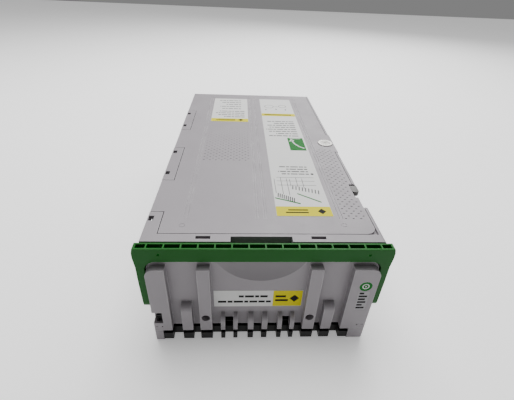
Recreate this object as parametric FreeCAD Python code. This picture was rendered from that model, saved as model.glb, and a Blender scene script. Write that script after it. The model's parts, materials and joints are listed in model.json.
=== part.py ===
import FreeCAD, Part
import math
import os

os.makedirs("parts", exist_ok=True)

# A removable banknote cassette, lying with its lid up.  Millimetres.
# X runs across the case, Y from the note throat at the front to the back, Z up from the floor.
# The origin is the centre of the base.  Depths d are measured behind the front face of the ribs.

# Overall sizes
WIDTH = 230.0            # across the case walls
LENGTH = 470.0           # from the rib fronts to the back wall
HEIGHT = 124.5           # from the runners' feet to the lid

# Case
WALL = 2.8               # side and back walls
FLOOR_LOW = 3.0          # underside of the floor plate
FLOOR_THICK = 3.0
RIM = 2.5                # thickness of the top flange and of the lid plate
SEAM = 0.9               # gap round the lid
BEAM_FRONT = 16.3        # depth of the front beam's face
LID_FRONT = 27.2         # depth of the front beam's rear edge
RUNNER_LEFT = 7.9        # widths of the two runners and of the feet in line with them
RUNNER_RIGHT = 16.2

# Throat cover
COVER_DEPTH = 20.0
COVER_WALL = 2.5
SIDE_STEP = 4.8          # the cover is set in from the case wall by this on each side
RIB_DEPTH = 8.0          # the panel's face behind the rib fronts
THROAT_TOP = 17.5        # underside of the cover
THROAT_LOW = 12.9        # top of the comb
TEETH_LOW = 2.5
CORNER = 8.8             # round of the cover's upper corners
NOTE_X = -4.0            # centre of the note path
COLUMN_AT = 88.2         # inner faces of the two columns, from the note path's centre
TALL_RIB = (53.2, 12.0)  # place and width of each rib, from the note path's centre
STUB_RIB = (72.2, 10.6)
SMALL_RIBS = ((7.25, 5.8), (23.1, 4.5), (36.0, 4.4))
STUB_RIB_TOP = 45.7      # where a stub rib's front face ends and its round hood starts
SMALL_RIB_TOP = 28.5
PEG_HOLE_R = 4.5
PEG_HOLE_Z = 36.5
PIN_MARKS = (2.7, 8.4)   # from the cover's side
PIN_MARK_Z = 23.9
WINDOW_DOWN = 8.4        # the left column's window, below and above the input gear's centre
WINDOW_UP = 7.4
SCOOP_RADIUS = 100.0     # ball that forms the finger scoop
SCOOP_HALF_WIDTH = 42.5
SCOOP_DROP = 25.2
SCOOP_WALL = 1.8

# Carrying handle
BAR_HEIGHT = 15.3
BAR_FRONT = 5.7
BAR_DEPTH = 8.7
BAR_WALL = 1.8
BAR_RIBS = 15            # ribs between the bar's open cells
BAR_PITCH = 15.34
CELL_RIB = 1.4
BAR_REACH = 1.6          # the bar's ends stand out past the arms by this
BAR_GAP = 2.2            # between the bar and the cover below it
ARM_GAP = 0.9            # between an arm and the cover's side
ARM_THICK = 7.4
ARM_END_R = 7.4
HANDLE_INNER_R = 11.0
PIVOT_DEPTH = 12.5
PIVOT_Z = 54.0
PIVOT_R = 2.5
PIVOT_HEAD_R = 4.6

# Note feed and stacker, all on shafts along X
GAP = 0.3                # air between surfaces that nearly touch
FIT = 0.05               # radial clearance of a shaft in its hole
MODULE = 1.0             # gear tooth size
GEAR_WIDTH = 5.0
HUB_R = 5.8
FEED_ROLLER_R = 8.0
PINCH_ROLLER_R = 5.0
ROLLER_WIDTH = 9.0
ROLLER_AT = (29.5, 62.7)  # roller places either side of the note path's centre
FEED_DEPTH = 28.0
SHAFT_R = 3.0
INPUT_TEETH = 20
FEED_TEETH = 23
IDLER_TEETH = 18
STACKER_TEETH = 32
STACKER_DEPTH = 50.0
STACKER_Z = 62.0
STACKER_R = 13.5
PLATE_THICK = 2.0
NOTE_GAP = 3.5           # channel between the two curved guides
STACK_PLATE_DEPTH = 58.0

# Push plate and its belt
ROD_R = 3.0
ROD_Z = 24.0
ROD_INSET = 11.0         # rod centres from the outside of the case
PUSH_REST = 428.0
PUSH_THICK = 3.0
PUSH_TOP_GAP = 12.5      # below the lid's top face
PULLEY_R = 8.0
PULLEY_Z = 80.0
PULLEY_DEPTH = 75.0
PULLEY_BACK = 20.0       # rear pulley, in front of the back face
BELT_WIDTH = 6.0
BELT_THICK = 1.2
BELT_INSET = 15.0        # middle of the belt, from the outside of the case
COUPLING_R = 7.0

# Lid, hinge, latch and lock
HINGE_INSET = 3.5        # hinge pins from the outside of the case
HINGE_DROP = 4.0         # and below the top
HINGE_PIN_R = 1.5
BLOCK_WIDTH = 13.7
BLOCKS = ((27.2, 62.0), (126.3, 215.0), (281.0, 366.0))
LUG_LENGTH = 7.0
LUG_BOTTOM = 5.5         # the lid's edge strip reaches this far below the hinge pins
LID_CORNER = 11.0
GROOVE_DEPTH = 0.5
GROOVE_WIDTH = 1.0
TAB = (209.0, 271.0)     # where the lid reaches over the right wall, round the lock
TAB_DROP = 12.5
STRIP = 4.2              # width of the right wall's top strip
NOTCH = (73.0, 104.0)    # finger notch in the right edge
LATCH = (105.0, 119.0)
LATCH_WIDTH = 8.5
LATCH_BAR_END = 200.0
LOCK_DEPTH = 238.5
LOCK_LIP = 2.0           # the flange stands out past the body by this
LOCK_WALL_GAP = 1.0      # between the lock's body and the right wall
LOCK_BODY_R = 9.0
LOCK_BARREL_R = 6.5
LOCK_LENGTH = 16.5
LOCK_PROUD = 1.2
CAM_REACH = 20.0

# Labels
LABEL_THICK = 0.2
MARK_Z = 82.0            # round mark on the right column
MARK_R = 6.3
MARK_INSET = 11.5        # from the cover's side to the middle of the marks
MARK_SINK = 0.1          # the marks lie this far behind the column's face
PLATE_HALF = 5.5         # shallow field below the round mark
PLATE_Z = (48.0, 74.6)

# Worked out from the sizes above
front = -LENGTH / 2
half = WIDTH / 2
inner = half - WALL
floor = FLOOR_LOW + FLOOR_THICK
cover_half = half - SIDE_STEP
cover_top = HEIGHT - BAR_HEIGHT - BAR_GAP
column_top = cover_top - 3.0
case_front = COVER_DEPTH + 0.5
lid_low = HEIGHT - RIM
note_line = THROAT_LOW + 0.6
feed_z = note_line + GAP + FEED_ROLLER_R
pinch_z = note_line - PINCH_ROLLER_R
plate_left = -half + 15.0
plate_right = NOTE_X + 94.0
gear_left = -cover_half + COVER_WALL + 0.8
rod_x = half - ROD_INSET
hinge_x = -half + HINGE_INSET
hinge_z = HEIGHT - HINGE_DROP
block_right = -half + BLOCK_WIDTH
belt_x = half - BELT_INSET
rear_pulley_depth = LENGTH - PULLEY_BACK
lock_x = inner - LOCK_WALL_GAP - LOCK_BODY_R


def box(x0, x1, d0, d1, z0, z1):
    """A block between two x, two depths and two heights."""
    corner = FreeCAD.Vector(x0, front + d0, z0)
    return Part.makeBox(x1 - x0, d1 - d0, z1 - z0, corner)


def rod_along_x(x0, x1, d, z, r):
    return Part.makeCylinder(r, x1 - x0, FreeCAD.Vector(x0, front + d, z), FreeCAD.Vector(1, 0, 0))


def rod_along_y(d0, d1, x, z, r):
    return Part.makeCylinder(r, d1 - d0, FreeCAD.Vector(x, front + d0, z), FreeCAD.Vector(0, 1, 0))


def rod_along_z(z0, z1, x, d, r):
    return Part.makeCylinder(r, z1 - z0, FreeCAD.Vector(x, front + d, z0), FreeCAD.Vector(0, 0, 1))


def fuse(shapes):
    whole = shapes[0]
    if len(shapes) > 1:
        whole = whole.fuse(shapes[1:])
    return whole.removeSplitter()


def cut(shape, tools):
    return shape.cut(tools).removeSplitter()


def group(shapes):
    return Part.makeCompound(shapes)


def save(name, shape):
    shape.exportStep("parts/" + name + ".step")


def prism_along_x(x0, x1, outline):
    """An outline of (depth, height) points, drawn out across X."""
    points = [FreeCAD.Vector(x0, front + d, z) for d, z in outline]
    face = Part.Face(Part.makePolygon(points + points[:1]))
    return face.extrude(FreeCAD.Vector(x1 - x0, 0, 0))


def prism_along_y(d0, d1, outline):
    """An outline of (x, height) points, drawn out along Y."""
    points = [FreeCAD.Vector(x, front + d0, z) for x, z in outline]
    face = Part.Face(Part.makePolygon(points + points[:1]))
    return face.extrude(FreeCAD.Vector(0, d1 - d0, 0))


def prism_along_z(z0, z1, outline):
    """An outline of (x, depth) points, drawn out upwards."""
    points = [FreeCAD.Vector(x, front + d, z0) for x, d in outline]
    face = Part.Face(Part.makePolygon(points + points[:1]))
    return face.extrude(FreeCAD.Vector(0, 0, z1 - z0))


def quarter_outside(x, z, r, d0, d1, side):
    """What is cut away to round an upper corner: a square less a quarter of a disc."""
    block = box(min(x, x + side * r), max(x, x + side * r), d0, d1, z, z + r)
    return block.cut(rod_along_y(d0, d1, x, z, r))


def edges_where(shape, test):
    return [edge for edge in shape.Edges if test(edge)]


def is_line_along(edge, axis):
    """True for a straight edge along the axis numbered 0, 1 or 2."""
    ends = [vertex.Point for vertex in edge.Vertexes]
    if len(ends) != 2 or not isinstance(edge.Curve, Part.Line):
        return False
    step = ends[1] - ends[0]
    return abs(abs(step[axis]) - step.Length) < 1e-6 and step.Length > 1e-6


def gear(x0, x1, d, z, teeth, phase, hole_r):
    """A spur gear about X with straight-flanked teeth, one tooth pointing at the phase angle."""
    pitch_r = MODULE * teeth / 2
    root_r = pitch_r - 1.15 * MODULE
    tip_r = pitch_r + 0.85 * MODULE
    step = 2 * math.pi / teeth
    outline = []
    for index in range(teeth):
        middle = phase + index * step
        for r, share in ((root_r, -0.32), (tip_r, -0.11), (tip_r, 0.11), (root_r, 0.32)):
            angle = middle + share * step
            outline.append((d + r * math.cos(angle), z + r * math.sin(angle)))
    blank = prism_along_x(x0, x1, outline)
    return blank.cut(rod_along_x(x0 - 1, x1 + 1, d, z, hole_r))


def meshed_phase(centre, phase, teeth, other_centre, other_teeth):
    """Phase of the second gear so that its space faces the first gear's tooth."""
    towards = math.atan2(other_centre[1] - centre[1], other_centre[0] - centre[0])
    turned = (towards - phase) * teeth / (2 * math.pi)
    part_step = turned - math.floor(turned)
    back = towards + math.pi
    return back + (part_step + 0.5) * 2 * math.pi / other_teeth


def meeting_point(a, ra, b, rb, upper):
    """Where circles about a and b cross, on the upper or the lower side of the line a to b."""
    gap = math.hypot(b[0] - a[0], b[1] - a[1])
    along = (ra * ra - rb * rb + gap * gap) / (2 * gap)
    off = math.sqrt(ra * ra - along * along) * (1 if upper else -1)
    ux = (b[0] - a[0]) / gap
    uz = (b[1] - a[1]) / gap
    return (a[0] + ux * along - uz * off, a[1] + uz * along + ux * off)


# ---- Case -------------------------------------------------------------------------------------

def case_body():
    solids = [box(-half, half, case_front, LENGTH, FLOOR_LOW, HEIGHT)]
    body = cut(solids[0], [
        box(-inner, inner, case_front - 1, LENGTH - WALL, floor, HEIGHT + 1),
        box(-inner, inner, case_front - 1, 36.5, 0, HEIGHT),
        # the lid lies over the back wall and over most of the left wall
        box(-half - 1, half - STRIP, LENGTH - WALL - 1, LENGTH + 1, lid_low - 0.2, HEIGHT + 1),
        box(-half - 1, -inner + 1, LID_FRONT, LENGTH + 1, hinge_z - LUG_BOTTOM - 1.3, HEIGHT + 1),
        # room for the finger notch, and for the lid's tab round the lock
        box(inner - 1, half + 1, NOTCH[0], LATCH[1] + 0.5, HEIGHT - 13.0, HEIGHT + 1),
        box(inner - 1, half + 1, TAB[0], TAB[1], HEIGHT - TAB_DROP, HEIGHT + 1),
        # the push drive's coupling comes through the right wall
        rod_along_x(inner - 1, half + 1, PULLEY_DEPTH, PULLEY_Z, COUPLING_R + 1.5),
    ])
    extras = [
        # front beam: flange, face and the ledge under the lid's front edge
        box(-half, half, BEAM_FRONT, LID_FRONT, lid_low, HEIGHT),
        box(-cover_half, cover_half, BEAM_FRONT, BEAM_FRONT + RIM, cover_top + 0.5, lid_low),
        box(-inner, inner, LID_FRONT - RIM, LID_FRONT, cover_top + 3, lid_low),
        box(-inner, inner, LID_FRONT - 0.1, LID_FRONT + 4, lid_low - 3.2, lid_low - 0.2),
        # the finger recess sunk into the beam
        box(NOTE_X - 31, NOTE_X + 31.7, BEAM_FRONT, LID_FRONT - RIM, cover_top + 3, lid_low),
        # right side: the strip beside the lid, and the ledge under the lid's edge
        box(half - STRIP, inner + 0.1, LID_FRONT, NOTCH[0], lid_low - 3.2, HEIGHT),
        box(half - STRIP, inner + 0.1, LATCH[1] + 2.5, TAB[0], lid_low - 3.2, HEIGHT),
        box(half - STRIP, inner + 0.1, TAB[1], LENGTH, lid_low - 3.2, HEIGHT),
        box(half - 8, inner + 0.1, LID_FRONT, NOTCH[0], lid_low - 3.2, lid_low - 0.2),
        box(half - 8, inner + 0.1, TAB[1], LENGTH - WALL, lid_low - 3.2, lid_low - 0.2),
        # what the lock's cam turns under, and the shelf that carries the latch bar
        box(half - 11, inner + 0.1, LOCK_DEPTH + 12, LOCK_DEPTH + 19, HEIGHT - 16.2, HEIGHT - 12.5),
        box(half - 7.3, inner + 0.1, LATCH[1] + 2.5, LATCH_BAR_END + 15, HEIGHT - 14.5, HEIGHT - 12.3),
        # runners
        box(-cover_half, -cover_half + RUNNER_LEFT, 37, LENGTH - 2, 0, FLOOR_LOW),
        box(cover_half - RUNNER_RIGHT, cover_half, 37, LENGTH - 2, 0, FLOOR_LOW),
    ]
    # flanges of the front frame: narrow beside the gears, wider above them for the cover's screws
    for side in (-1, 1):
        for reach, z0, z1 in ((3, THROAT_TOP, PIVOT_Z + 10), (12, PIVOT_Z + 10, lid_low)):
            low = min(side * half, side * (cover_half - reach))
            high = max(side * half, side * (cover_half - reach))
            extras.append(box(low, high, case_front, case_front + 2.5, z0, z1))
    for start, end in BLOCKS:
        extras.append(box(-half, block_right, start, end, hinge_z - LUG_BOTTOM - 1.3, HEIGHT))
    body = fuse([body] + extras)
    tools = [
        # the recess and the two slots in the beam
        box(NOTE_X - 28.4, NOTE_X + 29.7, BEAM_FRONT - 1, BEAM_FRONT + 7.4, cover_top + 4.5, HEIGHT + 1),
        box(NOTE_X - 60.9, NOTE_X - 47.0, 20.1, 24.3, cover_top, HEIGHT + 1),
        box(NOTE_X + 47.7, NOTE_X + 62.0, 20.1, 24.3, cover_top, HEIGHT + 1),
    ]
    for start, end in BLOCKS:
        tools.append(rod_along_y(start - 1, end + 1, hinge_x, hinge_z, HINGE_PIN_R + FIT))
    for depth in hinge_windows():
        tools.append(box(hinge_x - 2.6, hinge_x + 2.6, depth - 4, depth + 4, hinge_z - 2, HEIGHT + 1))
    for x, z in cover_screw_places():
        tools.append(rod_along_y(case_front - 1, case_front + 4, x, z, 1.5))
    tools.append(quarter_outside(half - 3, HEIGHT - 3, 3, -1, LENGTH + 1, 1))
    return cut(body, tools)


def hinge_windows():
    """Small moulding windows over the hinge pins, one or two in each block."""
    places = [BLOCKS[0][1] - 10.6]
    for start, end in BLOCKS[1:]:
        places.append(start + 17.0)
        places.append(end - 13.5)
    return places


def front_feet():
    solids = []
    for x0, x1 in ((-cover_half, -cover_half + RUNNER_LEFT), (cover_half - RUNNER_RIGHT, cover_half)):
        foot = box(x0, x1, 0, 36.5, 0, THROAT_TOP - GAP)
        foot = cut(foot, [box(x0 - 1, x1 + 1, feed_low_depth, 40, feed_low, THROAT_TOP)])
        front_edges = edges_where(foot, lambda e: is_line_along(e, 0) and e.BoundBox.ZMax < 1
                                  and e.BoundBox.YMax < front + 1)
        solids.append(foot.makeFillet(3.0, front_edges))
    return group(solids)


# ---- Throat -----------------------------------------------------------------------------------

def mirrored(places):
    """Places either side of the note path's centre."""
    return [NOTE_X + side * at for at in places for side in (-1, 1)]


def rib_bars():
    """Every rib and column in front of the panel, as (x0, x1, top)."""
    bars = [(-cover_half, NOTE_X - COLUMN_AT, column_top), (NOTE_X + COLUMN_AT, cover_half, column_top)]
    for x in mirrored([TALL_RIB[0]]):
        bars.append((x - TALL_RIB[1] / 2, x + TALL_RIB[1] / 2, column_top))
    for x in mirrored([STUB_RIB[0]]):
        bars.append((x - STUB_RIB[1] / 2, x + STUB_RIB[1] / 2, STUB_RIB_TOP))
    for at, width in SMALL_RIBS:
        for x in mirrored([at]):
            bars.append((x - width / 2, x + width / 2, SMALL_RIB_TOP))
    return bars


def scoop_ball(extra):
    """The ball that hollows the scoop, centred in front of the panel."""
    rim_r = (SCOOP_HALF_WIDTH ** 2 + SCOOP_DROP ** 2) / (2 * SCOOP_DROP)
    ahead = math.sqrt(SCOOP_RADIUS ** 2 - rim_r ** 2)
    centre = FreeCAD.Vector(NOTE_X + 1, front + RIB_DEPTH - ahead, cover_top - SCOOP_DROP + rim_r)
    return Part.makeSphere(SCOOP_RADIUS + extra, centre)


def cover_screw_places():
    return [(side * (cover_half - 7), z) for side in (-1, 1) for z in (PIVOT_Z + 17, cover_top - 14)]


def throat_cover():
    panel = box(-cover_half, cover_half, RIB_DEPTH, COVER_DEPTH, THROAT_TOP, cover_top)
    for side in (-1, 1):
        corner = quarter_outside(side * (cover_half - CORNER), cover_top - CORNER, CORNER,
                                 RIB_DEPTH - 1, COVER_DEPTH + 1, side)
        panel = panel.cut(corner)
    hollow = box(-cover_half + COVER_WALL, cover_half - COVER_WALL, RIB_DEPTH + COVER_WALL,
                 COVER_DEPTH + 1, THROAT_TOP - 1, cover_top - COVER_WALL)
    for side in (-1, 1):
        reach = CORNER - COVER_WALL
        hollow = hollow.cut(quarter_outside(side * (cover_half - CORNER), cover_top - CORNER, reach,
                                            RIB_DEPTH, COVER_DEPTH + 2, side))
    shell = panel.cut(hollow)
    bars = []
    for x0, x1, top in rib_bars():
        bar = box(x0, x1, 0, RIB_DEPTH, THROAT_TOP, top)
        if top == column_top and abs(x0 + x1) > cover_half:
            side = 1 if x1 > 0 else -1
            bar = bar.cut(quarter_outside(side * (cover_half - CORNER), top - CORNER, CORNER,
                                          -1, RIB_DEPTH + 1, side))
        bars.append(bar)
        # the hood of a short rib runs back into the panel in a quarter round
        if top < column_top:
            hood = rod_along_x(x0, x1, RIB_DEPTH, top, RIB_DEPTH)
            bars.append(hood.common(box(x0, x1, 0, RIB_DEPTH, top, top + RIB_DEPTH)))
    scoop_room = box(-cover_half + 5, cover_half - 5, RIB_DEPTH, COVER_DEPTH, cover_top - 40, cover_top)
    shell = fuse([shell, scoop_ball(SCOOP_WALL).common(scoop_room)] + bars)
    tools = [
        scoop_ball(0).common(box(-half, half, RIB_DEPTH - 0.01, COVER_DEPTH, 0, HEIGHT)),
        # both columns are hollow behind, and the left one has a window for the input gear
        box(-cover_half + COVER_WALL, NOTE_X - COLUMN_AT - COVER_WALL, COVER_WALL, RIB_DEPTH + 4,
            THROAT_TOP - 1, column_top - CORNER),
        box(NOTE_X + COLUMN_AT + COVER_WALL, cover_half - COVER_WALL, COVER_WALL, RIB_DEPTH + 4,
            THROAT_TOP + 2, column_top - CORNER),
        box(-cover_half - 1, NOTE_X - COLUMN_AT - 8.4, -1, COVER_WALL + 1,
            input_z - WINDOW_DOWN, input_z + WINDOW_UP),
        box(-cover_half - 1, -cover_half + COVER_WALL + 1, -1, COVER_DEPTH + 1,
            input_z - WINDOW_DOWN, input_z + WINDOW_UP),
    ]
    # the panel is cut higher between the two outer small ribs of each side
    for side in (-1, 1):
        near = NOTE_X + side * (SMALL_RIBS[1][0] + SMALL_RIBS[1][1] / 2)
        far = NOTE_X + side * (SMALL_RIBS[2][0] - SMALL_RIBS[2][1] / 2)
        tools.append(box(min(near, far), max(near, far), RIB_DEPTH - 1, RIB_DEPTH + COVER_WALL + 1,
                         THROAT_TOP - 1, THROAT_TOP + 11))
    for x in mirrored([TALL_RIB[0]]):
        tools.append(rod_along_y(-1, RIB_DEPTH + COVER_WALL + 1, x, PEG_HOLE_Z, PEG_HOLE_R))
    # two small pin marks at the foot of each column
    for side in (-1, 1):
        for inset in PIN_MARKS:
            tools.append(rod_along_y(-1, 1.2, side * (cover_half - inset), PIN_MARK_Z, 0.8))
    # the round mark lies in a shallow seat, above the plain field for the column's print
    mark_x = cover_half - MARK_INSET
    tools.append(rod_along_y(-1, MARK_SINK + LABEL_THICK, mark_x, MARK_Z, MARK_R))
    tools.append(box(mark_x - PLATE_HALF, mark_x + PLATE_HALF, -1, MARK_SINK, *PLATE_Z))
    for side in (-1, 1):
        x0 = min(side * (cover_half + 1), side * (cover_half - 6))
        tools.append(rod_along_x(x0, x0 + 7, PIVOT_DEPTH, PIVOT_Z, PIVOT_R + FIT))
    shell = cut(shell, tools)
    # screw ears behind the side walls
    ears = []
    for x, z in cover_screw_places():
        x0 = min(x - 4, cover_half - COVER_WALL) if x > 0 else -cover_half + COVER_WALL
        x1 = cover_half - COVER_WALL if x > 0 else x + 4
        ears.append(box(x0, x1, COVER_DEPTH - 4, COVER_DEPTH, z - 4, z + 4))
    shell = fuse([shell] + ears)
    return cut(shell, [rod_along_y(COVER_DEPTH - 6, COVER_DEPTH + 1, x, z, 1.5) for x, z in cover_screw_places()])


def throat_comb():
    left = -cover_half + RUNNER_LEFT + GAP
    right = cover_half - RUNNER_RIGHT - GAP
    pieces = [
        box(left, right, RIB_DEPTH, 36.0, 9.0, THROAT_LOW),
        box(left, right, RIB_DEPTH, RIB_DEPTH + 3, TEETH_LOW, THROAT_LOW),
    ]
    for x0, x1, top in rib_bars():
        low = max(x0, left)
        high = min(x1, right)
        tooth = box(low, high, 0, RIB_DEPTH + 3, TEETH_LOW, THROAT_LOW)
        nose = edges_where(tooth, lambda e: is_line_along(e, 0) and e.BoundBox.YMax < front + 1
                           and e.BoundBox.ZMax < TEETH_LOW + 1)
        pieces.append(tooth.makeFillet(1.5, nose))
    comb = fuse(pieces)
    slots = []
    for x in mirrored(ROLLER_AT):
        slots.append(box(x - 6, x + 6, FEED_DEPTH - 7, FEED_DEPTH + 7, 8, THROAT_LOW + 1))
    # the pinch shaft runs in a groove under the comb
    slots.append(box(left - 1, right + 1, FEED_DEPTH - 4, FEED_DEPTH + 4, 8.9, pinch_z + 3))
    # and the side plates and the feed gear stand in cut-outs at its ends
    slots.append(box(left - 1, plate_left + PLATE_THICK + GAP, feed_low_depth, 40, 8, THROAT_LOW + 1))
    slots.append(box(plate_right - GAP, right + 1, feed_low_depth, 40, 8, THROAT_LOW + 1))
    return cut(comb, slots)


def curved_channel(radius, thick, start_depth, z_top, outward):
    """Side view of a guide that turns from level to upright about the channel's centre."""
    centre_d = 30.0
    centre_z = THROAT_TOP + 20.0
    outer = radius + thick if outward else radius
    inner_r = radius if outward else radius - thick
    x0 = NOTE_X - 92
    x1 = NOTE_X + 92
    turn = rod_along_x(x0, x1, centre_d, centre_z, outer).cut(rod_along_x(x0, x1, centre_d, centre_z, inner_r))
    turn = turn.common(box(x0, x1, max(centre_d, start_depth), centre_d + outer, centre_z - outer, centre_z))
    upright = box(x0, x1, centre_d + inner_r, centre_d + outer, centre_z, z_top)
    pieces = [turn, upright]
    if start_depth < centre_d:
        pieces.append(box(x0, x1, start_depth, centre_d, centre_z - outer, centre_z - inner_r))
    return fuse(pieces)


def upper_guide():
    guide = curved_channel(20.0, 1.5, RIB_DEPTH + COVER_WALL + GAP, 43.0, False)
    slots = [box(x - 6, x + 6, FEED_DEPTH - 9, FEED_DEPTH + 10, THROAT_TOP - 1, THROAT_TOP + 12)
             for x in mirrored(ROLLER_AT)]
    # a groove lets the feed shaft pass over it
    slots.append(box(NOTE_X - 93, NOTE_X + 93, FEED_DEPTH - 4, FEED_DEPTH + 4,
                     feed_z - SHAFT_R - GAP, feed_z))
    return cut(guide, slots)


def turn_guide():
    return curved_channel(20.0 + NOTE_GAP, 1.5, 37.0, 44.0, True)


def stack_front_plate():
    plate = box(NOTE_X - 92, NOTE_X + 92, STACK_PLATE_DEPTH, STACK_PLATE_DEPTH + 2.5, floor, HEIGHT - 12)
    slots = []
    for x in mirrored(ROLLER_AT):
        slots.append(box(x - 5, x + 5, STACK_PLATE_DEPTH - 1, STACK_PLATE_DEPTH + 4,
                         STACKER_Z - STACKER_R - 2, STACKER_Z + STACKER_R + 2))
    return cut(plate, slots)


# ---- Gears and shafts -------------------------------------------------------------------------

feed_centre = (FEED_DEPTH, feed_z)
feed_tip_r = MODULE * (FEED_TEETH / 2 + 0.85)
feed_low = feed_z - feed_tip_r - 1
feed_low_depth = FEED_DEPTH - feed_tip_r - 1
input_depth = COVER_WALL + MODULE * (INPUT_TEETH / 2 + 0.85) + GAP
input_reach = MODULE * (INPUT_TEETH + FEED_TEETH) / 2
input_z = feed_z + math.sqrt(input_reach ** 2 - (FEED_DEPTH - input_depth) ** 2)
input_centre = (input_depth, input_z)
stacker_centre = (STACKER_DEPTH, STACKER_Z)
idler_centre = meeting_point(input_centre, MODULE * (INPUT_TEETH + IDLER_TEETH) / 2,
                             stacker_centre, MODULE * (IDLER_TEETH + STACKER_TEETH) / 2, False)
input_phase = 0.0
feed_phase = meshed_phase(input_centre, input_phase, INPUT_TEETH, feed_centre, FEED_TEETH)
idler_phase = meshed_phase(input_centre, input_phase, INPUT_TEETH, idler_centre, IDLER_TEETH)
stacker_phase = meshed_phase(idler_centre, idler_phase, IDLER_TEETH, stacker_centre, STACKER_TEETH)


def side_plate(x0, x1, back, holes, nose):
    """A steel plate that carries the shafts; holes are (centre, radius)."""
    pieces = [
        box(x0, x1, 23.2, back, floor, cover_top + 3),
        box(x0, x1, 23.2, 36.2, pinch_z - PINCH_BUSH_R - 1.6, floor + 1),
    ]
    if nose:
        pieces.append(box(x0, x1, input_centre[0] - 4, 24, input_z - 8, input_z + 8))
    plate = fuse(pieces)
    return cut(plate, [rod_along_x(x0 - 1, x1 + 1, c[0], c[1], r) for c, r in holes])


pinch_centre = (FEED_DEPTH, pinch_z)
BUSH_R = 4.2
PINCH_SHAFT_R = 1.5
PINCH_BUSH_R = 2.5
STUD_R = 2.5
SHAFT_SEATS = ((feed_centre, BUSH_R), (stacker_centre, BUSH_R), (pinch_centre, PINCH_BUSH_R))


def bush_pair(centre, outer_r, hole_r):
    solids = []
    for x0 in (plate_left, plate_right):
        bush = rod_along_x(x0, x0 + PLATE_THICK, centre[0], centre[1], outer_r)
        solids.append(bush.cut(rod_along_x(x0 - 1, x0 + 4, centre[0], centre[1], hole_r)))
    return group(solids)


def rollers(centre, outer_r, shaft_r):
    solids = []
    for x in mirrored(ROLLER_AT):
        roller = rod_along_x(x - ROLLER_WIDTH / 2, x + ROLLER_WIDTH / 2, centre[0], centre[1], outer_r)
        solids.append(roller.cut(rod_along_x(x - 9, x + 9, centre[0], centre[1], shaft_r)))
    return group(solids)


def stacker_wheels():
    """Hubs with six bent fingers each."""
    solids = []
    for x in mirrored(ROLLER_AT):
        x0 = x - 3
        x1 = x + 3
        pieces = [rod_along_x(x0, x1, STACKER_DEPTH, STACKER_Z, 7.0)]
        for index in range(6):
            angle = index * math.pi / 3
            outline = []
            for r, turn in ((6.0, 0.0), (STACKER_R, 0.55), (STACKER_R, 0.68), (6.0, 0.3)):
                outline.append((STACKER_DEPTH + r * math.cos(angle + turn),
                                STACKER_Z + r * math.sin(angle + turn)))
            pieces.append(prism_along_x(x0, x1, outline))
        wheel = fuse(pieces)
        solids.append(wheel.cut(rod_along_x(x0 - 1, x1 + 1, STACKER_DEPTH, STACKER_Z, SHAFT_R)))
    return group(solids)


def stud(centre):
    """A gear's fixed stud, riveted in the left plate."""
    return rod_along_x(gear_left - 0.4, plate_left + PLATE_THICK, centre[0], centre[1], STUD_R)


def save_gear_train():
    x0 = gear_left
    x1 = gear_left + GEAR_WIDTH
    # the input gear's hub shows in the left column's window
    hub = rod_along_x(-half + 1.5, x0 + 0.1, *input_centre, HUB_R)
    hub = hub.cut(rod_along_x(x0 - 0.8, x0 + 1, *input_centre, STUD_R + FIT))
    save("input_gear", fuse([gear(x0, x1, *input_centre, INPUT_TEETH, input_phase, STUD_R + FIT), hub]))
    save("feed_gear", gear(x0, x1, *feed_centre, FEED_TEETH, feed_phase, SHAFT_R))
    save("idler_gear", gear(x0, x1, *idler_centre, IDLER_TEETH, idler_phase, STUD_R + FIT))
    save("stacker_gear", gear(x0, x1, *stacker_centre, STACKER_TEETH, stacker_phase, SHAFT_R))
    save("input_gear_stud", stud(input_centre))
    save("idler_stud", stud(idler_centre))
    shaft_end = plate_right + PLATE_THICK + 2
    save("feed_shaft", rod_along_x(x0, shaft_end, *feed_centre, SHAFT_R))
    save("stacker_shaft", rod_along_x(x0, shaft_end, *stacker_centre, SHAFT_R))
    save("pinch_shaft", rod_along_x(plate_left, plate_right + PLATE_THICK, *pinch_centre, PINCH_SHAFT_R))
    save("feed_rollers", rollers(feed_centre, FEED_ROLLER_R, SHAFT_R))
    save("pinch_rollers", rollers(pinch_centre, PINCH_ROLLER_R, PINCH_SHAFT_R))
    save("stacker_wheels", stacker_wheels())
    save("feed_bushes", bush_pair(feed_centre, BUSH_R, SHAFT_R + FIT))
    save("stacker_bushes", bush_pair(stacker_centre, BUSH_R, SHAFT_R + FIT))
    save("pinch_bushes", bush_pair(pinch_centre, PINCH_BUSH_R, PINCH_SHAFT_R + FIT))
    stud_seats = ((input_centre, STUD_R), (idler_centre, STUD_R))
    save("left_side_plate", side_plate(plate_left, plate_left + PLATE_THICK, 57.7,
                                       SHAFT_SEATS + stud_seats, True))
    save("right_side_plate", side_plate(plate_right, plate_right + PLATE_THICK, 86.0,
                                        SHAFT_SEATS + (((PULLEY_DEPTH, PULLEY_Z), BUSH_R),), False))


# ---- Push plate and belt ----------------------------------------------------------------------

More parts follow.
